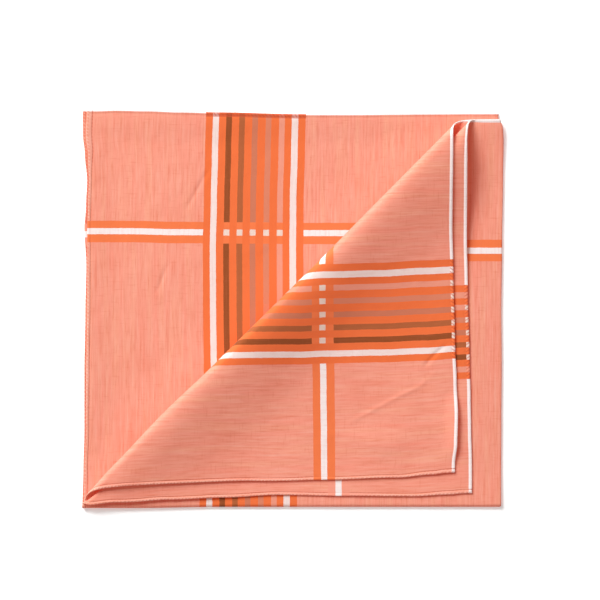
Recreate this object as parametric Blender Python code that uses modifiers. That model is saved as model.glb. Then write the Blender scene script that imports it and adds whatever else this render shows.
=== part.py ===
"""A cotton handkerchief, folded in four with the corner of its two upper layers turned back.

The cloth is one hemmed square. It is modelled flat, with the finer cuts where it will bend, given
its thickness, and then folded as by hand: the right half over onto the left half, both layers up
along the bottom, and the loose corner of the upper two diagonally back. Its four quarters are
called base, second, third and top, from the lowest layer to the highest.

+X is to the right and +Y is away from the bottom fold. The cloth lies on the plane z = 0, and the
origin is under the middle of the folded piece.
"""

from collections import namedtuple

import bmesh
import bpy
import numpy as np

NAME = "handkerchief_cloth"
MM = 0.001

# The flat cloth, measured from where its two long folds cross. Flat x < 0 holds the base and the
# top quarter, flat x > 0 the second and the third; flat y > 0 holds the base and the second.
OUTER_WIDTH = 215.0 * MM
INNER_WIDTH = 213.0 * MM
LOWER_LENGTH = 203.7 * MM
UPPER_LENGTH = 199.4 * MM

THICKNESS = 1.0 * MM
HEM_WIDTH = 2.0 * MM
HEM_THICKNESS = 1.2 * MM
HEM_EDGE_THICKNESS = 0.7 * MM
HEM_SHOULDER = 0.5 * MM

# Bends, to the middle of the cloth's thickness
LAYER_STEP = 1.4 * MM
SIDE_RADIUS = LAYER_STEP / 2
PACK_AXIS = 1.5 * LAYER_STEP
PACK_RADIUS = LAYER_STEP

# Where the right and the bottom fold lie
RIGHT_EDGE = 107.6 * MM
BOTTOM_EDGE = -102.4 * MM

BASE_HEIGHT = THICKNESS / 2
THIRD_HEIGHT = BASE_HEIGHT + 2 * LAYER_STEP
TOP_HEIGHT = BASE_HEIGHT + 3 * LAYER_STEP

# How far each side hem lies from the right fold, and how far that fold stands out of line.
# Place is the distance up the cloth from the bottom fold, less than 0 on the upper two layers.
SideHem = namedtuple("SideHem", "place outer inner edge")
SIDE_HEMS = [
    SideHem(-199.4, 209.2, 205.6, 1.0),
    SideHem(-194.5, 209.4, 206.0, 1.8),
    SideHem(-188.0, 210.0, 206.9, 1.6),
    SideHem(-170.0, 211.0, 208.6, 1.3),
    SideHem(-134.0, 210.8, 209.8, 0.8),
    SideHem(-101.0, 210.0, 211.3, 0.4),
    SideHem(-75.0, 211.2, 211.7, 0.6),
    SideHem(-45.0, 212.2, 211.8, 0.4),
    SideHem(-20.0, 213.7, 213.2, 0.3),
    SideHem(0.0, 215.8, 214.9, 0.3),
    SideHem(20.0, 215.3, 214.6, 0.1),
    SideHem(40.0, 214.8, 213.9, 0.0),
    SideHem(70.0, 214.8, 213.7, 0.0),
    SideHem(100.0, 214.3, 213.2, -0.1),
    SideHem(125.0, 213.8, 213.1, -0.1),
    SideHem(143.0, 214.8, 213.2, -0.2),
    SideHem(155.0, 214.0, 212.8, -0.2),
    SideHem(168.0, 213.4, 212.4, -0.2),
    SideHem(181.0, 214.1, 213.3, -0.2),
    SideHem(191.0, 215.1, 214.6, -0.3),
    SideHem(203.7, 215.3, 213.9, -1.4),
]

# How far the top hems lie from the bottom fold. Place is the distance from the right fold.
TopHem = namedtuple("TopHem", "place lower third top")
TOP_HEMS = [
    TopHem(0.0, 203.6, 199.8, 199.8),
    TopHem(15.0, 203.6, 199.7, 199.7),
    TopHem(28.0, 203.6, 198.8, 198.7),
    TopHem(80.0, 203.2, 198.6, 198.7),
    TopHem(105.0, 202.9, 199.1, 199.2),
    TopHem(145.0, 203.6, 199.8, 200.1),
    TopHem(165.0, 204.6, 200.5, 200.5),
    TopHem(182.0, 205.2, 201.1, 200.8),
    TopHem(198.0, 205.2, 200.8, 201.2),
    TopHem(208.0, 205.1, 199.8, 201.2),
]

# The turned-back corner, from its lower left end to its upper right end. Edge is how far the
# fold's outermost line lies to the upper left of the diagonal through the origin. Taller is how
# much higher the fold stands than a half circle of its radius.
CornerFold = namedtuple("CornerFold", "place third_edge third_radius top_edge top_radius taller")
CORNER_FOLD = [
    CornerFold(-146.0, 7.2, 2.6, 4.6, 0.9, 0.0),
    CornerFold(-122.0, 8.2, 3.1, 4.0, 1.5, 0.0),
    CornerFold(-84.0, 9.1, 3.4, 3.7, 2.0, 0.0),
    CornerFold(-50.0, 8.3, 3.5, 3.6, 2.1, 0.0),
    CornerFold(30.0, 7.9, 3.5, 3.6, 2.1, 0.4),
    CornerFold(130.0, 8.35, 3.4, 3.9, 2.0, 2.8),
]

# Beyond the fold the flap falls, soon steeply and then ever less, to lie on the layer under it.
SETTLE_FROM = 1.4 * MM
SETTLE_OVER = 24.0 * MM

# The corner fold of the top layer fades out before it meets the bottom fold.
FADE_OVER = 5.0 * MM
FADE_SHIFT = 4.0 * MM

# Low swells in the layers above the base. Wavelengths run along and across the cloth.
Swell = namedtuple("Swell", "height wavelength_x wavelength_y phase")
SWELLS = [
    Swell(0.16, 170.0, 240.0, 0.6),
    Swell(0.12, -95.0, 130.0, 2.1),
]
SWELL_FROM = 1.1 * MM
SWELL_FULL = 5.0 * MM

# Cuts across the flat cloth, finer where it bends
PLAIN_PITCH = 16.0 * MM
SIDE_STEPS = 6
PACK_STEPS = 8
THIRD_STEPS = 10
TOP_STEPS = 12
SETTLE_STEPS = 7
CORNER_MARGIN = 2.4 * MM


def column(table, name):
    """One column of a table, in metres."""
    return np.array([getattr(row, name) for row in table]) * MM


def ease(share):
    """A share from 0 to 1, with level ends."""
    share = np.clip(share, 0.0, 1.0)
    return share * share * (3.0 - 2.0 * share)


def read(table, name, place):
    """A column at each place, eased from one row into the next."""
    places, values = column(table, "place"), column(table, name)
    row = np.clip(np.searchsorted(places, place) - 1, 0, len(places) - 2)
    share = ease((place - places[row]) / (places[row + 1] - places[row]))
    return values[row] + (values[row + 1] - values[row]) * share


def half_turn(reach, height, start, axis, neutral, taller=0.0):
    """Bend what reaches past start up round an axis above it and lay it back the way it came."""
    angle = np.clip((reach - start) / neutral, 0.0, np.pi)
    lever = axis - height
    past = np.maximum(reach - start - np.pi * neutral, 0.0)
    reach = np.minimum(reach, start) + lever * np.sin(angle) - past
    return reach, axis - lever * np.cos(angle) + taller * (1.0 - np.cos(angle)) / 2


def uneven_cut(x, y):
    """Move points of the ruled square to the real cloth's slightly uneven hems."""
    edge = read(SIDE_HEMS, "edge", y)
    outer = (read(SIDE_HEMS, "outer", y) + edge) / OUTER_WIDTH
    inner = (read(SIDE_HEMS, "inner", y) + edge) / INNER_WIDTH
    lower = read(TOP_HEMS, "lower", np.abs(x)) / LOWER_LENGTH - 1.0
    third = read(TOP_HEMS, "third", np.abs(x)) / UPPER_LENGTH - 1.0
    top = read(TOP_HEMS, "top", np.abs(x)) / UPPER_LENGTH - 1.0
    upper = np.where(x < 0.0, top, third)
    gain = np.where(y > 0.0, lower * (y / LOWER_LENGTH) ** 2, upper * (y / UPPER_LENGTH) ** 2)
    return edge + x * np.where(x < 0.0, outer, inner), y * (1.0 + gain), edge


def turn_back(x, y, z, layer, middle, settled, fade):
    """Turn the upper left corner of one layer back along the diagonal and let the flap settle."""
    towards = (y - x) / np.sqrt(2.0)
    along = (y + x) / np.sqrt(2.0)
    radius = read(CORNER_FOLD, layer + "_radius", along)
    start = read(CORNER_FOLD, layer + "_edge", along) - THICKNESS / 2 - radius + fade
    turned = towards > start + radius * np.pi / 2
    taller = read(CORNER_FOLD, "taller", along)
    towards, z = half_turn(towards, z, start, middle + radius, radius, taller)
    fallen = 1.0 - np.exp(-((np.maximum(SETTLE_FROM - towards, 0.0) / SETTLE_OVER) ** 1.5))
    down = settled - (middle + 2.0 * radius + taller)
    z = z + np.where(turned, down * fallen, 0.0)
    return (along - towards) / np.sqrt(2.0), (along + towards) / np.sqrt(2.0), z


def folded(flat_x, flat_y, height):
    """Where points of the flat cloth lie once it is folded; height is from its middle."""
    x, y, edge = uneven_cut(flat_x, flat_y)
    x, z = half_turn(x, height, edge - SIDE_RADIUS * np.pi / 2, SIDE_RADIUS, SIDE_RADIUS)
    down, z = half_turn(-y, z, -PACK_RADIUS * np.pi / 2, PACK_AXIS, PACK_RADIUS)
    x, y, z = x + RIGHT_EDGE, BOTTOM_EDGE - down, z + BASE_HEIGHT

    upper = flat_y < 0.0
    fade = FADE_SHIFT * (1.0 - ease(-flat_y / FADE_OVER))
    for layer, mine, middle, settled in (
        ("third", upper & (flat_x > 0.0), THIRD_HEIGHT, TOP_HEIGHT + 2 * LAYER_STEP),
        ("top", upper & (flat_x < 0.0), TOP_HEIGHT, TOP_HEIGHT + LAYER_STEP),
    ):
        moved = turn_back(x, y, z, layer, middle, settled, fade)
        x, y, z = (np.where(mine, new, old) for new, old in zip(moved, (x, y, z)))

    lift = ease((z - SWELL_FROM) / (SWELL_FULL - SWELL_FROM))
    for swell in SWELLS:
        wave = x / (swell.wavelength_x * MM) + y / (swell.wavelength_y * MM)
        z = z + lift * swell.height * MM * np.sin(2.0 * np.pi * wave + swell.phase)
    return x, y, np.maximum(z, 0.0)


def hem_share(x, y):
    """How thick the cloth is at a point of the flat square, as a share of its plain thickness."""
    inset = np.minimum(
        np.minimum(x + OUTER_WIDTH, INNER_WIDTH - x),
        np.minimum(y + UPPER_LENGTH, LOWER_LENGTH - y),
    )
    insets = (0.0, HEM_SHOULDER, HEM_WIDTH - HEM_SHOULDER, HEM_WIDTH)
    thicknesses = (HEM_EDGE_THICKNESS, HEM_THICKNESS, HEM_THICKNESS, THICKNESS)
    return np.interp(inset, insets, thicknesses) / THICKNESS


def cut_lines(low, high, bend, steps):
    """Places to cut one direction of the square: the hems, the bend and an even pitch between."""
    hems = [low + HEM_SHOULDER, low + HEM_WIDTH, high - HEM_WIDTH, high - HEM_SHOULDER]
    places = hems + list(np.linspace(-bend, bend, steps + 1))
    for start, end in ((low + HEM_WIDTH, -bend), (bend, high - HEM_WIDTH)):
        spans = round((end - start) / PLAIN_PITCH)
        places += list(np.linspace(start, end, spans + 1))[1:-1]
    return places


def cut(bm, faces, point, normal):
    """Cut these faces, and the edges round them, along a plane."""
    geometry = set(faces)
    for face in faces:
        geometry.update(face.edges, face.verts)
    bmesh.ops.bisect_plane(bm, geom=list(geometry), plane_co=point, plane_no=normal, dist=1e-7)


def corner_cuts(bm, side, layer, steps):
    """Cut one upper quarter across the strip that its corner fold will bend."""
    edges, radii = column(CORNER_FOLD, layer + "_edge"), column(CORNER_FOLD, layer + "_radius")
    first = (edges - radii).min() - THICKNESS / 2 - CORNER_MARGIN
    last = (edges - radii + np.pi * radii).max() - THICKNESS / 2
    bend = np.linspace(first, last, steps + 1)
    flap = np.linspace(last, last + 2 * SETTLE_OVER, SETTLE_STEPS + 1)[1:]
    # On the flat square this diagonal runs the other way, and the folds' places count from it.
    offset = (BOTTOM_EDGE - RIGHT_EDGE) / np.sqrt(2.0)
    for towards in (*bend, *flap):
        reach = (towards - offset) * np.sqrt(2.0)
        quarter = []
        for face in bm.faces:
            middle = face.calc_center_median()
            if middle.x * side > 0.0 and middle.y < 0.0:
                quarter.append(face)
        cut(bm, quarter, (0.0, -reach, 0.0), (side, -1.0, 0.0))


def flat_cloth():
    """The flat square with every cut that its folds need."""
    bm = bmesh.new()
    bmesh.ops.create_grid(bm, x_segments=1, y_segments=1, size=0.5)
    size = (OUTER_WIDTH + INNER_WIDTH, LOWER_LENGTH + UPPER_LENGTH, 1.0)
    middle = ((INNER_WIDTH - OUTER_WIDTH) / 2, (LOWER_LENGTH - UPPER_LENGTH) / 2, 0.0)
    bmesh.ops.scale(bm, vec=size, verts=bm.verts)
    bmesh.ops.translate(bm, vec=middle, verts=bm.verts)
    for x in cut_lines(-OUTER_WIDTH, INNER_WIDTH, SIDE_RADIUS * np.pi / 2, SIDE_STEPS):
        cut(bm, bm.faces[:], (x, 0.0, 0.0), (1.0, 0.0, 0.0))
    for y in cut_lines(-UPPER_LENGTH, LOWER_LENGTH, PACK_RADIUS * np.pi / 2, PACK_STEPS):
        cut(bm, bm.faces[:], (0.0, y, 0.0), (0.0, 1.0, 0.0))
    corner_cuts(bm, 1.0, "third", THIRD_STEPS)
    corner_cuts(bm, -1.0, "top", TOP_STEPS)
    mesh = bpy.data.meshes.new(NAME)
    bm.to_mesh(mesh)
    bm.free()
    return mesh


def cotton():
    """Salmon cotton, matt."""
    material = bpy.data.materials.new("salmon_cotton")
    material.use_nodes = True
    shader = material.node_tree.nodes["Principled BSDF"]
    shader.inputs["Base Color"].default_value = (0.90, 0.36, 0.24, 1.0)
    shader.inputs["Roughness"].default_value = 0.85
    shader.inputs["Metallic"].default_value = 0.0
    return material


def fold(mesh):
    """Fold a flat mesh that already has its thickness, and set it over the origin."""
    points = np.empty(len(mesh.vertices) * 3)
    mesh.vertices.foreach_get("co", points)
    flat_x, flat_y, height = points.reshape(-1, 3).T
    placed = np.stack(folded(flat_x, flat_y, height * hem_share(flat_x, flat_y)), axis=1)
    low, high = placed.min(axis=0), placed.max(axis=0)
    placed[:, :2] -= ((low + high) / 2)[:2]
    mesh.vertices.foreach_set("co", placed.ravel())
    mesh.update()


def build():
    """Model the handkerchief in its own collection."""
    for old in list(bpy.data.objects):
        bpy.data.objects.remove(old)
    collection = bpy.data.collections.new("folded_handkerchief")
    bpy.context.scene.collection.children.link(collection)

    cloth = bpy.data.objects.new(NAME, flat_cloth())
    collection.objects.link(cloth)
    wall = cloth.modifiers.new("Cloth thickness", "SOLIDIFY")
    wall.thickness = THICKNESS
    wall.offset = 0.0
    bpy.context.view_layer.update()
    evaluated = cloth.evaluated_get(bpy.context.evaluated_depsgraph_get())
    thick = bpy.data.meshes.new_from_object(evaluated)
    cloth.modifiers.remove(wall)
    cloth.data = thick
    fold(thick)
    thick.materials.append(cotton())
    thick.shade_smooth()
    return cloth


build()
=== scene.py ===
# %% [markdown]
# # A folded cotton handkerchief
#
# This lesson dresses one object: a square of thin salmon cotton with a rolled, hand-stitched hem.
# It is folded in four, and the corner of its two upper layers is turned back. A plain solid of the
# folded cloth already exists. Here it gets its real look: thin cloth, rolled hems, woven stripes,
# slubs, stitches and soft creases.

import bpy
import numpy as np
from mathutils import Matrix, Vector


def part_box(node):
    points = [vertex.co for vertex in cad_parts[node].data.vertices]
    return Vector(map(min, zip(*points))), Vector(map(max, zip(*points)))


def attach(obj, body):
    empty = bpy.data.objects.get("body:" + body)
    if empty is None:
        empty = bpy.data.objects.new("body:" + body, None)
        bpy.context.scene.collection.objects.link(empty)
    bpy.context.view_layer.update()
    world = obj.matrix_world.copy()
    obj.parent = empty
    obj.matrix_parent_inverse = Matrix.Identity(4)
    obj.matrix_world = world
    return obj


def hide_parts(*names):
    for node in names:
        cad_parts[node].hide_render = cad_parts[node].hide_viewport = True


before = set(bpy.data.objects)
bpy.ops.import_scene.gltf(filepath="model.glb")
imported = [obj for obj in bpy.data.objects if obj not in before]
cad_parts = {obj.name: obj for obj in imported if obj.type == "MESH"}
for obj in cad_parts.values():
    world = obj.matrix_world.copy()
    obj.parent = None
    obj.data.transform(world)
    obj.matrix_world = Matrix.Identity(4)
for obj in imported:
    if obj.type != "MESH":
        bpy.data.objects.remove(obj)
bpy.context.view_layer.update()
low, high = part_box("handkerchief_cloth")
print("solid, in mm:", [round(1000 * (b - a), 1) for a, b in zip(low, high)])

# %% [markdown]
# ## The measured cloth
#
# Hands don't fold exactly. On the real handkerchief each hem lies a few millimetres in or out of
# the next, and the folds bow a little. One way to get that is a cloth simulation, but it would
# never land on the same folds twice. So the uneven places are measured and kept in short tables,
# one row for each place along the cloth, in millimetres.
#
# The flat cloth is measured from where its two long folds cross. Flat x < 0 holds the lowest and
# the highest layer, flat x > 0 the two between. Flat y > 0 holds the lower two, and flat y < 0 the
# upper two, whose corner is turned back. From the lowest up, the layers are called base, second,
# third and top.
#
# In the table of side hems, outer and inner are the widths of the left and the right half, and edge
# is how far the fold between them strays to the right. The table of top hems has the lengths of the
# lower half, of the third layer and of the top one. The last table goes along the diagonal fold
# from its lower left end. It says how far beyond the diagonal each layer's bend reaches, the bend's
# radius, how much taller than round it stands, and over what length the flap comes down.

# %% Sizes in millimetres
from collections import namedtuple

MM = 0.001
LEFT_WIDTH = 215.0
RIGHT_WIDTH = 213.0
LOWER_LENGTH = 203.7
UPPER_LENGTH = 199.4
RIGHT_FOLD = 107.6
BOTTOM_FOLD = -102.4

SideHem = namedtuple("SideHem", "place outer inner edge")
SIDE_HEMS = [
    SideHem(-199.4, 208.9, 205.6, -0.6),
    SideHem(-194.5, 209.1, 206.0, 0.8),
    SideHem(-188.0, 209.7, 206.9, 1.1),
    SideHem(-170.0, 210.6, 208.6, 0.8),
    SideHem(-134.0, 210.4, 209.8, 0.3),
    SideHem(-101.0, 209.9, 211.3, -0.1),
    SideHem(-75.0, 211.2, 211.7, 0.1),
    SideHem(-45.0, 212.2, 211.5, -0.1),
    SideHem(-20.0, 213.7, 212.2, -0.2),
    SideHem(0.0, 215.8, 214.9, -0.2),
    SideHem(20.0, 215.3, 214.6, -0.4),
    SideHem(40.0, 214.8, 213.9, -0.5),
    SideHem(70.0, 214.8, 213.7, -0.5),
    SideHem(100.0, 214.3, 213.2, -0.6),
    SideHem(125.0, 213.8, 213.1, -0.6),
    SideHem(143.0, 214.8, 213.2, -0.5),
    SideHem(155.0, 214.0, 212.8, -0.5),
    SideHem(168.0, 213.4, 212.4, -0.5),
    SideHem(181.0, 214.5, 212.9, -0.7),
    SideHem(191.0, 215.5, 213.9, -1.0),
    SideHem(203.7, 215.6, 213.5, -1.6),
]

TopHem = namedtuple("TopHem", "place lower third top")
TOP_HEMS = [
    TopHem(0.0, 203.1, 199.8, 199.8),
    TopHem(15.0, 203.1, 199.7, 199.7),
    TopHem(28.0, 203.0, 198.5, 198.7),
    TopHem(80.0, 202.6, 198.4, 198.7),
    TopHem(105.0, 202.6, 199.1, 199.2),
    TopHem(145.0, 203.5, 199.8, 200.1),
    TopHem(165.0, 204.0, 200.5, 200.5),
    TopHem(182.0, 204.6, 201.1, 200.8),
    TopHem(198.0, 204.9, 200.8, 201.2),
    TopHem(208.0, 204.6, 199.8, 201.2),
]

CornerFold = namedtuple(
    "CornerFold", "place third_edge third_radius top_edge top_radius taller fall_over"
)
CORNER_FOLD = [
    CornerFold(-146.0, 7.2, 2.1, 4.6, 0.85, 0.0, 19.0),
    CornerFold(-122.0, 8.2, 2.7, 4.0, 1.35, 0.1, 19.0),
    CornerFold(-84.0, 9.1, 3.4, 3.7, 2.0, 1.2, 23.0),
    CornerFold(-50.0, 8.3, 3.5, 3.6, 2.1, 1.8, 24.0),
    CornerFold(30.0, 7.9, 3.5, 3.6, 2.1, 2.4, 26.0),
    CornerFold(78.0, 8.15, 3.45, 3.75, 2.05, 3.0, 31.0),
    CornerFold(98.0, 8.25, 3.2, 3.82, 2.0, 3.7, 38.0),
    CornerFold(108.0, 8.3, 3.05, 3.85, 2.0, 4.4, 42.0),
    CornerFold(118.0, 8.33, 3.0, 3.88, 2.0, 4.4, 42.0),
    CornerFold(130.0, 8.35, 3.0, 3.9, 2.0, 1.4, 38.0),
]
print("open cloth, in mm:", LEFT_WIDTH + RIGHT_WIDTH, "by", LOWER_LENGTH + UPPER_LENGTH)

# %% [markdown]
# Between two rows a value eases from one to the next, so that no hem gets a kink at a row.


# %% Read the tables
def ease(share):
    """A share from 0 to 1, with level ends."""
    share = np.clip(share, 0.0, 1.0)
    return share * share * (3.0 - 2.0 * share)


def read(table, name, place):
    """One column of a table at each place."""
    places = np.array([row.place for row in table])
    values = np.array([getattr(row, name) for row in table])
    row = np.clip(np.searchsorted(places, place) - 1, 0, len(places) - 2)
    share = ease((place - places[row]) / (places[row + 1] - places[row]))
    return values[row] + (values[row + 1] - values[row]) * share


print("left hem, 100 mm up:", round(float(read(SIDE_HEMS, "outer", np.array([100.0]))[0]), 1))

# %% [markdown]
# ## The flat cloth
#
# A folded cloth could be drawn layer by layer, but then the layers don't hang together and the
# pattern has to be matched at each fold. It is easier to do what hands do: make the flat square
# and fold it. The square starts as a grid. Its lines are then moved close together at the hems and
# along the folds, where the cloth bends, and stay wide apart where it lies flat.

# %% Make the flat square
HEM_LINES = [0.0, 0.15, 0.4, 0.75, 1.1, 1.45, 1.8, 2.4, 3.3]
SIDE_BEND = [-2.4, -1.6, -1.1, -0.73, -0.37, 0.0, 0.37, 0.73, 1.1, 1.6, 2.4]
BOTTOM_BEND = [-3.6, -2.8, -2.2, -1.76, -1.32, -0.88, -0.44, 0.0]
LEFT_PITCH = 5.0
RIGHT_PITCH = 2.2
LENGTH_PITCH = 2.3


def lines(low, high, bend, low_pitch, high_pitch):
    """Where the grid's lines lie in one direction: hems, bend, and an even pitch between."""
    places = [low + inset for inset in HEM_LINES] + bend + [high - inset for inset in HEM_LINES]
    for start, end, pitch in (
        (low + HEM_LINES[-1], bend[0], low_pitch),
        (bend[-1], high - HEM_LINES[-1], high_pitch),
    ):
        places += list(np.linspace(start, end, round((end - start) / pitch) + 1))[1:-1]
    return np.array(sorted(places))


columns = lines(-LEFT_WIDTH, RIGHT_WIDTH, SIDE_BEND, LEFT_PITCH, RIGHT_PITCH)
whole_bend = BOTTOM_BEND + [-place for place in BOTTOM_BEND[-2::-1]]
rows = lines(-UPPER_LENGTH, LOWER_LENGTH, whole_bend, LENGTH_PITCH, LENGTH_PITCH)

bpy.ops.object.select_all(action="DESELECT")
bpy.ops.mesh.primitive_grid_add(
    x_subdivisions=len(columns) - 1, y_subdivisions=len(rows) - 1, size=1.0
)
cloth = bpy.context.object
cloth.name = "cotton_handkerchief"
cloth.data.name = "cotton_handkerchief"


def points(mesh):
    """The mesh's points as three rows, in millimetres."""
    flat = np.empty(len(mesh.vertices) * 3)
    mesh.vertices.foreach_get("co", flat)
    return flat.reshape(-1, 3).T / MM


def place_points(mesh, x, y, z):
    """Move the mesh's points to these places in millimetres."""
    mesh.vertices.foreach_set("co", (np.stack([x, y, z], axis=1) * MM).ravel())
    mesh.update()


x, y, z = points(cloth.data) * MM
column = np.rint((x + 0.5) * (len(columns) - 1)).astype(int)
row = np.rint((y + 0.5) * (len(rows) - 1)).astype(int)
place_points(cloth.data, columns[column], rows[row], z)
print("flat square:", len(cloth.data.polygons), "faces")

# %% [markdown]
# The corner fold runs across the grid on the diagonal. Straight cuts along it give the bend even
# steps. In edit mode that is the bisect operator, on the faces of one quarter at a time.

# %% Cut the upper quarters along the diagonal
import bmesh

Strip = namedtuple("Strip", "first last pitch")
THIRD_STRIP = Strip(1.0, 15.5, 0.95)
TOP_STRIP = Strip(-2.0, 8.5, 0.75)
CUT_REACH = 8.0


def cut_diagonal(side, strip):
    """Cut one upper quarter across the strip that its corner fold bends."""
    offset = (BOTTOM_FOLD - RIGHT_FOLD) / np.sqrt(2.0)
    bpy.ops.mesh.select_all(action="DESELECT")
    for towards in np.arange(*strip):
        reach = (towards - offset) * np.sqrt(2.0)
        bm = bmesh.from_edit_mesh(cloth.data)
        for face in bm.faces:
            middle = face.calc_center_median() / MM
            across = abs(-middle.y + middle.x * side - reach) < CUT_REACH
            face.select_set(middle.x * side > 0.0 and middle.y < 0.0 and across)
        bmesh.update_edit_mesh(cloth.data)
        bpy.ops.mesh.bisect(plane_co=(0.0, -reach * MM, 0.0), plane_no=(side, -1.0, 0.0))


bpy.ops.object.mode_set(mode="EDIT")
bpy.ops.mesh.select_mode(type="FACE")
cut_diagonal(1.0, THIRD_STRIP)
cut_diagonal(-1.0, TOP_STRIP)
bpy.ops.object.mode_set(mode="OBJECT")
print("with the diagonal cuts:", len(cloth.data.polygons), "faces")

# %% [markdown]
# ## Thin cloth with a rolled hem
#
# The Solidify modifier gives the square its two faces and closes its edge. A hem rolled between
# finger and thumb is a small tube along the edge, with a groove where the stitches pull it down.
# A separate tube would need joining, so the cloth's own thickness swells and falls near the edge.

# %% Give the cloth two faces
CLOTH_THICKNESS = 0.45

wall = cloth.modifiers.new("Cloth thickness", "SOLIDIFY")
wall.thickness = CLOTH_THICKNESS * MM
wall.offset = 0.0
bpy.ops.object.modifier_apply(modifier=wall.name)
flat_x, flat_y, height = points(cloth.data)
face_side = np.sign(height)
print("two faces and an edge:", len(cloth.data.polygons), "faces")

# %% How wide the hems are
SIDE_HEM_WIDTH = 1.6
SPREAD_FROM = 168.0
SPREAD_OVER = 22.0
LOWER_SPREAD = 1.5
UPPER_SPREAD = 0.4
TOP_HEM_WIDTH = 1.7
TURN_PLACE = 22.0
TURN_REACH = 9.0
TURN_THINNER = 0.7


def side_hem_widths(y):
    """The side hem's width: it is rolled wider towards the cloth's corners."""
    spread = ease((np.abs(y) - SPREAD_FROM) / SPREAD_OVER)
    return SIDE_HEM_WIDTH + spread * np.where(y > 0.0, LOWER_SPREAD, UPPER_SPREAD)


def top_hem_widths(x, y):
    """The top hem's width: where it turns over the corner fold it is pulled thin."""
    pulled = np.exp(-(((np.abs(x) - TURN_PLACE) / TURN_REACH) ** 2)) * (y < 0.0)
    return TOP_HEM_WIDTH - TURN_THINNER * pulled


side_inset = np.minimum(flat_x + LEFT_WIDTH, RIGHT_WIDTH - flat_x)
top_inset = np.minimum(flat_y + UPPER_LENGTH, LOWER_LENGTH - flat_y)
side_share = side_inset / side_hem_widths(flat_y)
top_share = top_inset / top_hem_widths(flat_x, flat_y)
print("side hem at a lower corner, in mm:", side_hem_widths(LOWER_LENGTH))

# %% Roll the hems
RollPlace = namedtuple("RollPlace", "share half")
ROLL = [
    RollPlace(0.0, 0.14),
    RollPlace(0.1, 0.27),
    RollPlace(0.25, 0.34),
    RollPlace(0.5, 0.36),
    RollPlace(0.7, 0.33),
    RollPlace(0.88, 0.22),
    RollPlace(1.0, 0.15),
    RollPlace(1.2, 0.225),
]


def roll(share):
    """Half the thickness across a hem, in mm: 0 is its edge and 1 the stitched groove."""
    return np.interp(share, [row.share for row in ROLL], [row.half for row in ROLL])


nearer = np.where(side_inset < top_inset, side_share, top_share)
in_hem = np.minimum(side_inset, top_inset) < HEM_LINES[-1]
swollen = np.where(in_hem, roll(nearer), CLOTH_THICKNESS / 2)
height = face_side * swollen
print("hem, thickest:", round(2 * float(swollen.max()), 2), "mm")

# %% [markdown]
# ## Folding
#
# Each fold is a half turn round an axis: what lies before it stays, what reaches past it goes up
# and round, and the rest lies back the way it came. Because the same rule moves both faces, the
# cloth keeps its thickness round the bend. The right half goes over first, then both layers go up
# along the bottom, and last the corner of each upper layer goes back on the diagonal. Beyond that
# fold the flap comes down slowly, as cotton does, onto the layer under it. Right beside the bottom
# fold the corner fold fades out, so that the bottom fold keeps its own bend. Towards the right the
# bottom fold bows up by a little more than half a millimetre.

# %% Fold rules
LAYER_STEP = 0.9
BASE_HEIGHT = 0.36
SETTLE_FROM = 1.4
SETTLE_POWER = 1.5


def half_turn(reach, height, start, axis, neutral, taller=0.0):
    """Bend what reaches past start up round an axis above it and lay it back."""
    angle = np.clip((reach - start) / neutral, 0.0, np.pi)
    lever = axis - height
    past = np.maximum(reach - start - np.pi * neutral, 0.0)
    reach = np.minimum(reach, start) + lever * np.sin(angle) - past
    return reach, axis - lever * np.cos(angle) + taller * (1.0 - np.cos(angle)) / 2.0


def uneven_cut(x, y):
    """Move points of the ruled square to the real cloth's uneven hems."""
    edge = read(SIDE_HEMS, "edge", y)
    outer = (read(SIDE_HEMS, "outer", y) + edge) / LEFT_WIDTH
    inner = (read(SIDE_HEMS, "inner", y) + edge) / RIGHT_WIDTH
    lower = read(TOP_HEMS, "lower", np.abs(x)) / LOWER_LENGTH - 1.0
    third = read(TOP_HEMS, "third", np.abs(x)) / UPPER_LENGTH - 1.0
    top = read(TOP_HEMS, "top", np.abs(x)) / UPPER_LENGTH - 1.0
    upper = np.where(x < 0.0, top, third)
    gain = np.where(y > 0.0, lower * (y / LOWER_LENGTH) ** 2, upper * (y / UPPER_LENGTH) ** 2)
    return edge + x * np.where(x < 0.0, outer, inner), y * (1.0 + gain), edge


def turn_back(x, y, z, layer, middle, settled, fade):
    """Turn the upper left corner of one layer back on the diagonal and let the flap settle."""
    towards = (y - x) / np.sqrt(2.0)
    along = (y + x) / np.sqrt(2.0)
    radius = read(CORNER_FOLD, layer + "_radius", along)
    start = read(CORNER_FOLD, layer + "_edge", along) - CLOTH_THICKNESS / 2 - radius + fade
    turned = towards > start + radius * np.pi / 2
    taller = read(CORNER_FOLD, "taller", along)
    towards, z = half_turn(towards, z, start, middle + radius, radius, taller)
    fall_over = read(CORNER_FOLD, "fall_over", along)
    beyond = np.maximum(SETTLE_FROM - towards, 0.0) / fall_over
    fallen = 1.0 - np.exp(-(beyond**SETTLE_POWER))
    down = settled - (middle + 2.0 * radius + taller)
    z = z + np.where(turned, down * fallen, 0.0)
    return (along - towards) / np.sqrt(2.0), (along + towards) / np.sqrt(2.0), z


laid_back = half_turn(np.array([10.0]), 0.0, 0.0, 1.0, 1.0)[0]
print("what reached 10 mm past a fold ends at:", laid_back.round(2), "mm")

# %% Fold the two halves
BOW = 0.6
BOW_FROM = -80.0
BOW_OVER = 45.0
BOW_DEPTH = 14.0
upper = flat_y < 0.0
third_layer = upper & (flat_x > 0.0)
top_layer = upper & (flat_x < 0.0)

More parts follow.
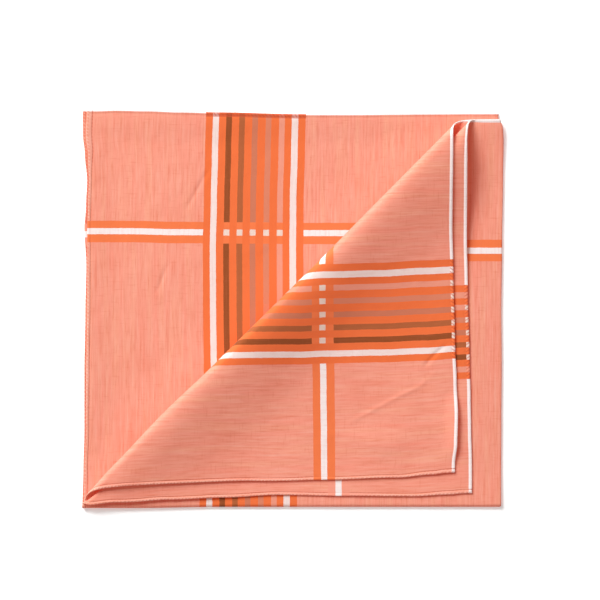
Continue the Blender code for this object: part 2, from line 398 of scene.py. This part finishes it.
x, y, edge = uneven_cut(flat_x, flat_y)
x, z = half_turn(x, height, edge - LAYER_STEP / 2 * np.pi / 2, LAYER_STEP / 2, LAYER_STEP / 2)
down, z = half_turn(-y, z, -LAYER_STEP * np.pi / 2, 1.5 * LAYER_STEP, LAYER_STEP)
x, y, z = x + RIGHT_FOLD, BOTTOM_FOLD - down, z + BASE_HEIGHT
near_fold = ease(1.0 - (y - BOTTOM_FOLD) / BOW_DEPTH)
y = y + BOW * ease((x - BOW_FROM) / BOW_OVER) * near_fold
print("folded in four, in mm:", round(np.ptp(x), 1), "by", round(np.ptp(y), 1))

# %% Turn the corner back
FADE_OVER = 5.0
FADE_SHIFT = 4.0
fade = FADE_SHIFT * (1.0 - ease(-flat_y / FADE_OVER))
third_height = BASE_HEIGHT + 2 * LAYER_STEP
top_height = BASE_HEIGHT + 3 * LAYER_STEP
for layer, mine, middle, settled in (
    ("third", third_layer, third_height, top_height + 2 * LAYER_STEP),
    ("top", top_layer, top_height, top_height + LAYER_STEP),
):
    moved = turn_back(x, y, z, layer, middle, settled, fade)
    x, y, z = (np.where(mine, new, old) for new, old in zip(moved, (x, y, z)))
print("folded, in mm:", round(np.ptp(x), 1), "by", round(np.ptp(y), 1), "by", round(np.ptp(z), 1))

# %% [markdown]
# ## Sag and swells
#
# The rolled hems on the left and at the top hold the layers apart, and the bottom fold does so a
# little. Away from them, and away from the loose corner fold, the four layers sink together. Taking
# the same share off every height in the pack keeps the layers in their order. They also rise and
# fall, by a few long waves.

# %% Let it sag
PRESSED = 0.45
PACK_HEIGHT = 3.6
FOLD_LINE = 8.0
FLAP_KEEPS = 2.0
FLAP_SINKS_OVER = 40.0
PACK_SINKS_OVER = 25.0
LEFT_EDGE = -104.0
TOP_EDGE = 98.0
BOTTOM_EDGE = -102.0
HEM_HOLDS = 14.0
BOTTOM_HOLDS = 20.0
BOTTOM_SHARE = 0.25

fold_distance = FOLD_LINE - (y - x) / np.sqrt(2.0)
flap_sinks = (fold_distance - FLAP_KEEPS) / FLAP_SINKS_OVER
pack_sinks = -fold_distance / PACK_SINKS_OVER
beyond = ease(np.where(fold_distance > 0.0, flap_sinks, pack_sinks))
inside = np.minimum(ease((x - LEFT_EDGE) / HEM_HOLDS), ease((TOP_EDGE - y) / HEM_HOLDS))
held_up = BOTTOM_SHARE * (1.0 - ease((y - BOTTOM_EDGE) / BOTTOM_HOLDS))
inside = np.minimum(inside, 1.0 - held_up)
z = z - PRESSED * inside * beyond * np.minimum(z, PACK_HEIGHT)
print("mean height, in mm:", round(float(z.mean()), 2))

# %% Let it swell
SWELL_FROM = 0.6
SWELL_OVER = 3.0
Swell = namedtuple("Swell", "height wavelength_x wavelength_y phase")
SWELLS = [
    Swell(0.16, 170.0, 240.0, 0.6),
    Swell(0.12, -95.0, 130.0, 2.1),
    Swell(0.07, 41.0, -66.0, 0.4),
    Swell(0.05, -29.0, -37.0, 1.3),
]

lift = ease((z - SWELL_FROM) / SWELL_OVER)
for swell in SWELLS:
    wave = x / swell.wavelength_x + y / swell.wavelength_y
    z = z + lift * swell.height * np.sin(2.0 * np.pi * wave + swell.phase)
print("swells:", len(SWELLS))

# %% [markdown]
# ## Soft creases
#
# The corner fold's flap has a soft ridge and a trough, and its loose side edge stands up a little.
# Each one follows a line of two or three points on one layer, and is strongest half way along it.

# %% Press in the soft creases
FLAP_HEIGHT = 2.4
Crease = namedtuple("Crease", "layer lift width line")
SOFT_CREASES = [
    Crease("third", 1.60, 4.5, ((85.0, -42.0), (84.4, -80.0))),
    Crease("third", 0.45, 5.0, ((20.0, -64.0), (46.0, -70.0), (70.0, -66.0))),
    Crease("third", -0.35, 4.0, ((52.0, -20.0), (66.0, -42.0), (74.0, -60.0))),
]


def near_line(x, y, line):
    """How far points lie from a line of points, and how far along it, as a share."""
    ends = np.array(line)
    lengths = np.hypot(*np.diff(ends, axis=0).T)
    starts = np.concatenate([[0.0], np.cumsum(lengths)])
    nearest = np.full(x.shape, 1e9)
    share = np.zeros(x.shape)
    for start, end, length, before in zip(ends, ends[1:], lengths, starts):
        step = (end - start) / length
        along = np.clip((x - start[0]) * step[0] + (y - start[1]) * step[1], 0.0, length)
        far = np.hypot(x - start[0] - step[0] * along, y - start[1] - step[1] * along)
        share = np.where(far < nearest, (before + along) / starts[-1], share)
        nearest = np.minimum(far, nearest)
    return nearest, share


def pressed_in(x, y, crease):
    """How far one crease lifts each point: most along its line, nothing at its ends."""
    far, share = near_line(x, y, crease.line)
    return crease.lift * np.exp(-((far / crease.width) ** 2)) * ease(4.0 * share * (1.0 - share))


for crease in SOFT_CREASES:
    z = z + np.where(third_layer & (z > FLAP_HEIGHT), pressed_in(x, y, crease), 0.0)
print("highest, in mm:", round(float(z.max()), 1))

# %% Centre it on the table
z = np.maximum(z, 0.0)
centre_x = (x.min() + x.max()) / 2
centre_y = (y.min() + y.max()) / 2
place_points(cloth.data, x - centre_x, y - centre_y, z)
print("centre moved by:", round(centre_x, 2), round(centre_y, 2), "mm")

# %% [markdown]
# ## Where each thread lies
#
# The stripes are woven in, so they follow the cloth round every fold. Each point therefore keeps
# its own place in the weave, as an attribute that the material reads: how far it lies across and
# along the cloth, and which face it is on. The cloth shrank unevenly in the wash, so the stripes'
# true places are tables too: of the band's two sides, and of the thin stripe's middle on each layer.

# %% Where the stripes lie
BAND_NEAR = 101.0
BAND_FAR = 152.4
STRIPE_MIDDLE = 137.0
WOVEN_SIDE = 211.0
WOVEN_TOP = 203.0

Band = namedtuple("Band", "place right_near right_far left_near left_far")
BANDS = [
    Band(-199.4, 96.0, 146.9, 102.0, 150.0),
    Band(-184.0, 96.5, 148.0, 102.2, 150.4),
    Band(-160.8, 97.6, 148.9, 102.6, 151.2),
    Band(-133.6, 98.2, 149.6, 103.0, 152.0),
    Band(-119.8, 99.2, 150.2, 103.4, 152.6),
    Band(-3.4, 101.0, 152.4, 105.1, 155.4),
    Band(66.0, 101.4, 153.2, 105.1, 155.4),
    Band(107.0, 101.7, 153.7, 105.1, 155.4),
    Band(133.0, 101.8, 153.8, 105.1, 155.4),
    Band(158.0, 101.7, 153.2, 105.1, 155.4),
    Band(184.0, 101.0, 152.6, 105.1, 155.4),
    Band(203.7, 100.6, 152.0, 105.1, 155.4),
]
Stripe = namedtuple("Stripe", "place base second third top")
STRIPES = [
    Stripe(0.0, 141.4, 141.4, 131.2, 132.2),
    Stripe(98.0, 141.4, 141.4, 131.3, 132.3),
    Stripe(132.0, 141.5, 141.7, 131.5, 132.4),
    Stripe(168.0, 141.3, 141.9, 132.3, 132.5),
    Stripe(190.0, 141.1, 142.4, 132.7, 132.5),
    Stripe(213.0, 140.8, 142.4, 132.9, 132.5),
]
print("band, at its middle, in mm:", BAND_FAR - BAND_NEAR)


# %% Places across the cloth
def stretch(place, marks, woven):
    """Move places so that each mark falls on its woven place, evenly between marks."""
    result = place * woven[0] / marks[0]
    for low, high, low_woven, high_woven in zip(marks, marks[1:], woven, woven[1:]):
        share = (place - low) / (high - low)
        result = np.where(place > low, low_woven + share * (high_woven - low_woven), result)
    return result


right = flat_x > 0.0
near = np.where(right, read(BANDS, "right_near", flat_y), read(BANDS, "left_near", flat_y))
far = np.where(right, read(BANDS, "right_far", flat_y), read(BANDS, "left_far", flat_y))
hem = np.where(right, read(SIDE_HEMS, "inner", flat_y), read(SIDE_HEMS, "outer", flat_y))
width = np.where(right, RIGHT_WIDTH, LEFT_WIDTH)
reach_x = np.abs(flat_x) * (hem + edge) / width - edge
across = stretch(np.abs(reach_x), (near, far, hem), (BAND_NEAR, BAND_FAR, WOVEN_SIDE))
print("woven width of a half:", round(float(across.max()), 1), "mm")

# %% Places along the cloth
place = np.abs(flat_x)
upper_stripe = np.where(right, read(STRIPES, "third", place), read(STRIPES, "top", place))
lower_stripe = np.where(right, read(STRIPES, "second", place), read(STRIPES, "base", place))
middle = np.where(upper, upper_stripe, lower_stripe)
upper_hem = np.where(right, read(TOP_HEMS, "third", place), read(TOP_HEMS, "top", place))
hem = np.where(upper, upper_hem, read(TOP_HEMS, "lower", place))
length = np.where(upper, UPPER_LENGTH, LOWER_LENGTH)
reach_y = np.abs(flat_y) * (1.0 + (hem / length - 1.0) * (flat_y / length) ** 2)
along = stretch(reach_y, (middle, hem), (STRIPE_MIDDLE, WOVEN_TOP))
print("woven length of a half:", round(float(along.max()), 1), "mm")

# %% Keep the places
cloth.data.attributes.new("weave", "FLOAT_VECTOR", "POINT").data.foreach_set(
    "vector", np.stack([np.sign(flat_x) * across, np.sign(flat_y) * along, face_side], 1).ravel()
)
cloth.data.attributes.new("hem", "FLOAT_VECTOR", "POINT").data.foreach_set(
    "vector", np.stack([side_share, top_share, side_inset], axis=1).ravel()
)
print("attributes:", [name for name in cloth.data.attributes.keys() if name in ("weave", "hem")])

# %% [markdown]
# ## Fine creases
#
# When the cloth was ironed a few sharp little creases were pressed in. They are narrower than the
# grid's faces, and a finer grid everywhere would be wasteful. So only the faces along each crease
# are subdivided. The places in the weave are attributes, and they are shared out to the new points.

# %% Subdivide along the fine creases
FINE_REACH = 3.4
FINE_CREASES = [
    Crease("second", -0.32, 1.0, ((-70.8, 6.6), (-67.6, 14.0), (-64.1, 23.6))),
    Crease("second", -0.32, 1.0, ((-56.4, 48.3), (-46.6, 65.8), (-41.5, 74.0))),
    Crease("third", -0.38, 1.0, ((66.5, -31.0), (72.9, -23.8), (80.5, -17.2))),
    Crease("third", 0.22, 1.0, ((24.0, -61.5), (52.8, -46.0), (65.7, -39.8), (75.5, -30.0))),
]


def on_layer(crease, weaves, z):
    """Which places lie on the crease's layer, told by their weave and their height."""
    placed = weaves[:, 1] > 0.0 if crease.layer == "second" else z > FLAP_HEIGHT
    return placed & (weaves[:, 0] > 0.0)


bpy.ops.object.mode_set(mode="EDIT")
bpy.ops.mesh.select_all(action="DESELECT")
bm = bmesh.from_edit_mesh(cloth.data)
woven_place = bm.verts.layers.float_vector["weave"]
centres = np.array([face.calc_center_median() for face in bm.faces]) / MM
weaves = np.array([face.verts[0][woven_place] for face in bm.faces])
chosen = np.zeros(len(weaves), dtype=bool)
for crease in FINE_CREASES:
    far, share = near_line(centres[:, 0] + centre_x, centres[:, 1] + centre_y, crease.line)
    chosen |= (far < FINE_REACH) & on_layer(crease, weaves, centres[:, 2])
for face, wanted in zip(bm.faces, chosen):
    face.select_set(bool(wanted))
bmesh.update_edit_mesh(cloth.data)
bpy.ops.mesh.subdivide(number_cuts=2)
bpy.ops.object.mode_set(mode="OBJECT")
print("faces subdivided:", int(chosen.sum()))

# %% Press in the fine creases
x, y, z = points(cloth.data)
weaves = np.empty(len(x) * 3)
cloth.data.attributes["weave"].data.foreach_get("vector", weaves)
weaves = weaves.reshape(-1, 3)
for crease in FINE_CREASES:
    depth = pressed_in(x + centre_x, y + centre_y, crease)
    z = z + np.where(on_layer(crease, weaves, z), depth, 0.0)
place_points(cloth.data, x, y, z)
print("with the fine creases:", len(cloth.data.polygons), "faces")

# %% [markdown]
# ## The cotton
#
# A band of fifteen stripes runs along each side. Its orange and white stripes hide the thin stripe
# that crosses them, and the browns let it through, as the real weave does. All this could be
# painted as a picture, but shader nodes stay sharp at any distance. Sums on node values are
# written as plain Python: one small class wraps a socket, and each sum on it adds a Math node.


# %% A socket that takes part in sums
class Thread:
    """A shader value that can be added, multiplied and compared."""

    def __init__(self, tree, socket=None):
        self.tree = tree
        self.socket = socket

    def node(self, kind, settings, inputs, output=0):
        """Add a node: its settings first, then the values or links of its sockets."""
        made = self.tree.nodes.new(kind)
        for name, value in settings.items():
            if name == "stops":
                set_stops(made.color_ramp, value)
            else:
                setattr(made, name, value)
        for name, value in inputs.items():
            if isinstance(value, Thread):
                self.tree.links.new(value.socket, made.inputs[name])
            else:
                made.inputs[name].default_value = value
        return Thread(self.tree, made.outputs[output])

    def math(self, operation, first, second=0.0):
        return self.node("ShaderNodeMath", {"operation": operation}, {0: first, 1: second})

    def __add__(self, other):
        return self.math("ADD", self, other)

    def __sub__(self, other):
        return self.math("SUBTRACT", self, other)

    def __rsub__(self, other):
        return self.math("SUBTRACT", other, self)

    def __mul__(self, other):
        return self.math("MULTIPLY", self, other)

    def __truediv__(self, other):
        return self.math("DIVIDE", self, other)

    def __gt__(self, other):
        return self.math("GREATER_THAN", self, other)

    def __lt__(self, other):
        return self.math("LESS_THAN", self, other)

    def __abs__(self):
        return self.math("ABSOLUTE", self)

    __radd__ = __add__
    __rmul__ = __mul__


def set_stops(ramp, stops):
    """Give a colour ramp hard steps: each colour runs from its place to the next."""
    ramp.interpolation = "CONSTANT"
    while len(ramp.elements) < len(stops):
        ramp.elements.new(1.0)
    for element, (place, colour) in zip(ramp.elements, stops):
        element.position = place
        element.color = colour


print("Thread:", Thread.__doc__)

# %% [markdown]
# ### Dyes
#
# Thin cotton lets light seep through. Between its layers that light bounces, and it takes up more
# of the dye each time, so even the shadows on the cloth are warm. Tracing it would be slow and
# grainy. Instead the cotton gets a faint glow in its own dye, multiplied by itself. It is strongest
# in red, because most of the cloth around is salmon. Each dye is then made weaker by just that
# much, and by three percent more because the window is bright, so that in good light it has the
# colour it should have.

# %% Mix a dye
SEEPING = np.array([0.37, 0.15, 0.10])
BRIGHT_WINDOW = 0.97


def dyed(red, green, blue):
    """A colour as it looks in good light, turned into the shader's own values."""
    sample = np.array([red, green, blue]) / 255.0
    linear = np.where(sample < 0.04045, sample / 12.92, ((sample + 0.055) / 1.055) ** 2.4)
    linear = BRIGHT_WINDOW * linear
    dye = (np.sqrt(1.0 + 4.0 * SEEPING * linear) - 1.0) / (2.0 * SEEPING)
    return (*dye, 1.0)


print("white dye:", [round(float(part), 2) for part in dyed(255, 255, 255)[:3]])

# %% [markdown]
# ### The band's stripes
#
# From the middle of the cloth towards its side the band goes orange, white, orange, then five
# tones that get darker from pale to dark brown, each followed by orange, and last white and orange.
# The widths are in millimetres. A colour ramp with hard steps turns them into stripes. A second one
# has the reverse face, whose white is only pale, and a third tells which stripes cover the thin
# stripe that crosses them.

# %% List the stripes
GROUND = dyed(247, 153, 130)
ORANGE = dyed(243, 112, 58)
WHITE = dyed(246, 219, 213)
THIN_WHITE = dyed(250, 231, 228)
THIN_ORANGE = dyed(246, 121, 69)
CROSSED_WHITE = dyed(240, 210, 196)
DARK_BROWN = dyed(150, 74, 32)
BROWN = dyed(178, 94, 52)
GREY_BROWN = dyed(208, 118, 88)
PINKISH = dyed(222, 128, 98)
PALE = dyed(240, 150, 126)

BAND_STRIPES = [
    (3.75, ORANGE, 1),
    (3.34, WHITE, 1),
    (3.73, ORANGE, 1),
    (2.83, PALE, 0),
    (3.93, ORANGE, 1),
    (3.08, PINKISH, 0),
    (3.96, ORANGE, 1),
    (2.88, GREY_BROWN, 0),
    (3.83, ORANGE, 1),
    (2.85, BROWN, 0),
    (3.85, ORANGE, 1),
    (2.88, DARK_BROWN, 0),
    (3.65, ORANGE, 1),
    (3.24, WHITE, 1),
    (3.60, ORANGE, 1),
]
BAND_WIDTH = BAND_FAR - BAND_NEAR
RAMP_START = 0.02
RAMP_SHARE = 0.96

colour_stops = [(0.0, GROUND)]
cover_stops = [(0.0, (0.0, 0.0, 0.0, 1.0))]
reverse_stops = [(0.0, GROUND)]
start = RAMP_START
for stripe_width, colour, cover in BAND_STRIPES:
    colour_stops.append((start, colour))
    reverse_stops.append((start, PALE if colour == WHITE else colour))
    cover_stops.append((start, (cover, cover, cover, 1.0)))
    start += RAMP_SHARE * stripe_width / BAND_WIDTH
colour_stops.append((start, GROUND))
reverse_stops.append((start, GROUND))
cover_stops.append((start, (0.0, 0.0, 0.0, 1.0)))
print("band stripes:", len(BAND_STRIPES), "over", BAND_WIDTH, "mm")

# %% Start the cotton
cotton = bpy.data.materials.new("striped_cotton")
cotton.use_nodes = True
tree = cotton.node_tree
shader = tree.nodes["Principled BSDF"]
thread = Thread(tree)

weave = thread.node("ShaderNodeAttribute", {"attribute_name": "weave"}, {}, "Vector")
hem_place = thread.node("ShaderNodeAttribute", {"attribute_name": "hem"}, {}, "Vector")


def part_of(vector, output):
    """One of a vector's three parts."""
    return thread.node("ShaderNodeSeparateXYZ", {}, {0: vector}, output)


across = part_of(weave, 0)
along = part_of(weave, 1)
right_side = part_of(weave, 2) < 0.0
side_roll = part_of(hem_place, 0)
top_roll = part_of(hem_place, 1)
far_across = abs(across)
far_along = abs(along)


def mixed(share, first, second):
    """Two colours mixed: share 0 is the first and 1 the second."""
    settings = {"data_type": "RGBA"}
    return thread.node("ShaderNodeMix", settings, {0: share, 6: first, 7: second}, 2)


def multiplied(first, second):
    """One colour seen through another."""
    settings = {"data_type": "RGBA", "blend_type": "MULTIPLY"}
    return thread.node("ShaderNodeMix", settings, {0: 1.0, 6: first, 7: second}, 2)


def above(value, level, gain):
    """How far a value stands above a level, times a gain, or else nothing."""
    return thread.math("MAXIMUM", (value - level) * gain, 0.0)


def below(value, level, gain):
    """How far a value lies below a level, times a gain, or else nothing."""
    return thread.math("MAXIMUM", (level - value) * gain, 0.0)


def noise(vector, scale, detail, stretched=(1.0, 1.0, 1.0)):
    """Smooth noise on a vector in millimetres, from 0 to 1."""
    settings = {"operation": "MULTIPLY"}
    moved = thread.node("ShaderNodeVectorMath", settings, {0: vector, 1: stretched})
    inputs = {"Vector": moved, "Scale": scale, "Detail": detail}
    return thread.node("ShaderNodeTexNoise", {}, inputs, 0)


print("nodes at the start:", len(tree.nodes))

# %% [markdown]
# ### Uneven threads
#
# Each stripe's edge follows the threads, which wander by a tenth of a millimetre. The slubs are
# thick places in the yarn: long thin streaks along the cloth, and fainter ones across it. Noise
# stretched along the threads gives both, and one that is stretched further gives the batches.

# %% Wandering edges and slubs
WANDER = 0.3
wander = noise(weave, 0.5, 2.0) - 0.5
long_slub = noise(weave, 1.0, 2.0, (1.1, 0.04, 1.0))
fine_slub = noise(weave, 1.0, 1.0, (2.0, 0.12, 1.0))
cross_slub = noise(weave, 1.0, 1.0, (0.14, 1.3, 1.0))
yarn_batch = noise(weave, 1.0, 2.0, (0.28, 0.018, 1.0))
mottle = noise(weave, 0.045, 3.0)

band_share = (far_across + wander * WANDER - BAND_NEAR) / BAND_WIDTH * RAMP_SHARE + RAMP_START
band_colour = thread.node("ShaderNodeValToRGB", {"stops": colour_stops}, {0: band_share})
reverse_colour = thread.node("ShaderNodeValToRGB", {"stops": reverse_stops}, {0: band_share})
cover = thread.node("ShaderNodeValToRGB", {"stops": cover_stops}, {0: band_share})
print("stops in the ramps:", len(colour_stops), len(reverse_stops), len(cover_stops))

# %% [markdown]
# ### The thin stripe and the white roll
#
# The thin stripe crosses the whole cloth: orange, white, orange. At each end a white stripe is
# woven in, and the hem is rolled about there, so the upper layers' roll is white. The lower layers'
# roll shows only a thin line of it, and none inside the band. Both whites let the band's orange and
# white pass over them.

# %% Cross stripes
STRIPE_HALF = 5.6
WHITE_HALF = 1.58
LOWER_ROLL_HIDDEN = 0.6
from_middle = abs(far_along + wander * WANDER - STRIPE_MIDDLE)
in_stripe = from_middle < STRIPE_HALF
in_white = from_middle < WHITE_HALF
in_band = (band_share > RAMP_START) * (band_share < RAMP_START + RAMP_SHARE)
lower_half = along > 0.0
in_roll = top_roll < 1.0 - lower_half * (in_band + LOWER_ROLL_HIDDEN)
lets_through = 1.0 - cover

cross_white = mixed(in_band, THIN_WHITE, CROSSED_WHITE)
stripe_colour = mixed(in_white, THIN_ORANGE, cross_white)
front = mixed(lets_through * in_stripe, band_colour, stripe_colour)
back = mixed(lets_through * in_white, reverse_colour, cross_white)
woven = mixed(right_side, back, front)
woven = mixed(lets_through * in_roll, woven, cross_white)
print("thin stripe, in mm:", 2 * STRIPE_HALF, "of it white:", 2 * WHITE_HALF)

# %% [markdown]
# ### Stitches
#
# The hem is whipped by hand with pale salmon thread. The slanted stitches wind round the roll like
# a rope and pull a thin groove into the cloth beside it. They could be hundreds of small tubes, but
# at this size stripes across the roll look the same. The groove and the cloth between the stitches
# get painted shade, in a dark red. Where the hem crosses the thin stripe the thread hides in the
# stripe's own colours. Where it crosses the band, the stitches get painted shade, and so does the
# lower layers' roll. The base layer's side roll, half hidden under the next, gets painted shade too.

# %% Groove and rope, with painted shade
STITCH_PITCH = 1.9
STITCH_SLANT = 1.1
STITCH_SHARE = 0.45
STITCH = dyed(255, 204, 184)
# This dark red is painted shade: it darkens the groove, the gaps between stitches and the shaded
# rolls.
GROOVE_SHADE = dyed(206, 80, 48)
GROOVE_HALF = 0.2
ROPE_MIDDLE = 0.25
ROPE_HALF = 0.294


def stitches(place, share):
    """Where a slanted stitch lies: 1 on the thread and 0 between."""
    return thread.math("FRACT", place / STITCH_PITCH) < share


plain = (1.0 - in_band) * (1.0 - in_stripe)
stitch = stitches(along + side_roll * STITCH_SLANT + wander * 2.0, STITCH_SHARE)
groove = below(abs(side_roll - 1.0), GROOVE_HALF, 1.0 / GROOVE_HALF) * (1.0 - in_stripe * 0.8)
rope = below(abs(side_roll - ROPE_MIDDLE), ROPE_HALF, 1.0 / ROPE_HALF) * plain
in_side_roll = (side_roll < 1.0) * plain * (1.0 - in_roll)
# The base layer's side roll, under the next layer's edge, gets painted shade.
shaded_base_roll = in_side_roll * (across < 0.0) * lower_half
woven = mixed((in_side_roll - shaded_base_roll) * 0.3, woven, STITCH)
woven = mixed(shaded_base_roll * 0.6, woven, GROOVE_SHADE)
# The groove gets painted shade, a little less where a stitch crosses it.
woven = mixed(groove * (0.95 - stitch * 0.25), woven, GROOVE_SHADE)
woven = mixed(rope * stitch * 0.5, woven, STITCH)
# Between the stitches the rope gets painted shade.
woven = mixed(rope * (1.0 - stitch) * 0.4, woven, GROOVE_SHADE)
print("stitches along a side:", round((LOWER_LENGTH + UPPER_LENGTH) / STITCH_PITCH))

# %% Hem across the band, with painted shade
TOP_STITCH_SHARE = 0.4
TOP_ROPE_REACH = 1.1
SHADE_REACH = 1.4
top_stitch = stitches(across + top_roll * STITCH_SLANT, TOP_STITCH_SHARE)
# Over the band the top hem's stitches get painted shade.
woven = mixed((top_roll < TOP_ROPE_REACH) * in_band * top_stitch * 0.55, woven, GROOVE_SHADE)
# Over the band the lower layers' top roll gets painted shade too.
woven = mixed(in_band * lower_half * (top_roll < SHADE_REACH) * 0.6, woven, GROOVE_SHADE)
print("nodes with the stitches:", len(tree.nodes))

# %% [markdown]
# ### Tone
#
# Yarn is dyed in batches, so broad streaks of threads lean a little to yellow or to red. On top of
# that, slubs are a touch redder and darker than the cloth, and pale threads lie between them. Last
# comes a mottle: soft patches, a few centimetres wide, where the dye is a little deeper. Each noise
# is cut off at a level, so that it makes separate places and not a haze.

# %% Slubs and batches of yarn
DEEP = dyed(226, 112, 78)
LIGHT = dyed(255, 192, 172)
YELLOWER = dyed(248, 163, 134)
REDDER = dyed(249, 146, 124)
BATCH_SHARE = 0.6
is_ground = plain * (1.0 - in_roll)
darker = above(long_slub, 0.5, 4.0) + above(fine_slub, 0.54, 4.0) + above(cross_slub, 0.6, 4.5)
lighter = below(long_slub, 0.48, 4.0) + below(fine_slub, 0.42, 3.0)
woven = mixed(above(yarn_batch, 0.5, 5.0) * is_ground * BATCH_SHARE, woven, YELLOWER)
woven = mixed(below(yarn_batch, 0.5, 5.0) * is_ground * BATCH_SHARE, woven, REDDER)
woven = mixed(darker * (is_ground * 0.25 + 0.12), woven, DEEP)
woven = mixed(lighter * is_ground * 0.26, woven, LIGHT)
woven = mixed((mottle - 0.5) * is_ground * 0.5, woven, DEEP)
tree.links.new(woven.socket, shader.inputs["Base Color"])
print("nodes with the slubs:", len(tree.nodes))

# %% Seeping light
glow = multiplied(multiplied(woven, woven), (*SEEPING, 1.0))
tree.links.new(glow.socket, shader.inputs["Emission Color"])
shader.inputs["Emission Strength"].default_value = 1.0
print("seeping light, red, green and blue:", SEEPING)

# %% [markdown]
# ### Weave and relief
#
# A plain weave goes over one thread and under the next, so it repeats after every second thread.
# Two sine waves multiplied give that chequer of little humps. Slubs and stitches stand up from it,
# the groove lies lower, and the whole cloth is a little uneven. All this is no more than a few
# tenths of a millimetre, so it is a bump and not real shape.

# %% Relief and finish
WEAVE_REPEAT = 0.36
WEAVE_HEIGHT = 0.018
turn = 2.0 * np.pi / WEAVE_REPEAT
warp = thread.math("SINE", across * turn)
weft = thread.math("SINE", along * turn)
relief = warp * weft * WEAVE_HEIGHT + long_slub * 0.05 + fine_slub * 0.03 + cross_slub * 0.03
relief = relief + noise(weave, 0.12, 3.0) * 0.35
relief = relief + groove * -0.14 + rope * stitch * 0.12
bump_inputs = {"Height": relief, "Distance": MM, "Strength": 0.8}
bump = thread.node("ShaderNodeBump", {}, bump_inputs)
tree.links.new(bump.socket, shader.inputs["Normal"])
shader.inputs["Roughness"].default_value = 0.88
shader.inputs["Specular IOR Level"].default_value = 0.2
shader.inputs["Sheen Weight"].default_value = 0.15
shader.inputs["Sheen Roughness"].default_value = 0.5
print("cotton:", len(tree.nodes), "nodes")

# %% [markdown]
# ### Dressing
#
# The finished cotton goes onto the cloth, smoothly shaded. The cloth then rides on the model's only
# body and takes the plain solid's place.

# %% Dress the cloth
cloth.data.materials.append(cotton)
bpy.ops.object.select_all(action="DESELECT")
cloth.select_set(True)
bpy.context.view_layer.objects.active = cloth
bpy.ops.object.shade_smooth()
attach(cloth, "root")
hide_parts("handkerchief_cloth")
print(cloth.name, "rides on root and stands for handkerchief_cloth")

# %% [markdown]
# ## Table, light and camera
#
# The cloth lies on a plain white table in soft light from the upper left, and is seen from
# straight above. In a white room light comes back onto the table from everywhere. Instead of whole
# walls, a faint glow in the table and a soft warm fill do that and keep the cloth's shadow pale.
# Far away and with a long lens, the camera sees almost no perspective.

# %% Table
TABLE_SIZE = 3.0
bpy.ops.object.select_all(action="DESELECT")
bpy.ops.mesh.primitive_plane_add(size=TABLE_SIZE)
table = bpy.context.object
table.name = "white_table"
paper = bpy.data.materials.new("white_table")
paper.use_nodes = True
white = paper.node_tree.nodes["Principled BSDF"]
white.inputs["Base Color"].default_value = (0.95, 0.95, 0.95, 1.0)
white.inputs["Roughness"].default_value = 0.9
white.inputs["Emission Color"].default_value = (1.0, 1.0, 1.0, 1.0)
white.inputs["Emission Strength"].default_value = 0.33
table.data.materials.append(paper)
print("table:", TABLE_SIZE, "m square")

# %% Light
WINDOW_PLACE = (-1.6, 2.15, 1.74)
bpy.context.scene.view_settings.view_transform = "Standard"
world = bpy.data.worlds.new("soft_room")
world.use_nodes = True
background = world.node_tree.nodes["Background"]
background.inputs["Color"].default_value = (1.0, 0.92, 0.89, 1.0)
background.inputs["Strength"].default_value = 0.25
bpy.context.scene.world = world

bpy.ops.object.light_add(type="AREA", location=WINDOW_PLACE, rotation=(0.0, 0.0, 0.0))
window = bpy.context.object
window.name = "window_light"
window.data.size = 1.7
window.data.energy = 176.0
window.data.color = (0.95, 1.0, 1.0)
window.rotation_euler = (-window.location).to_track_quat("-Z", "Y").to_euler()
print("window light:", round(window.location.length, 2), "m from the cloth")

# %% Camera
VIEW_WIDTH = 309.0
CAMERA_HEIGHT = 1.6
AIM_X = 3.86
AIM_Y = 4.5
SENSOR_WIDTH = 36.0
bpy.ops.object.camera_add(
    location=((AIM_X - centre_x) * MM, (AIM_Y - centre_y) * MM, CAMERA_HEIGHT),
    rotation=(0.0, 0.0, 0.0),
)
camera = bpy.context.object
camera.data.sensor_width = SENSOR_WIDTH
camera.data.lens = SENSOR_WIDTH * CAMERA_HEIGHT / (VIEW_WIDTH * MM)
bpy.context.scene.camera = camera
print("lens, in mm:", round(camera.data.lens))

# %% [markdown]
# ## Triangles
#
# The thin cloth should lie inside the solid's box. Here only the cloth's triangles are counted.

# %% Count the triangles
print("triangles:", sum(len(p.vertices) - 2 for p in cloth.data.polygons))
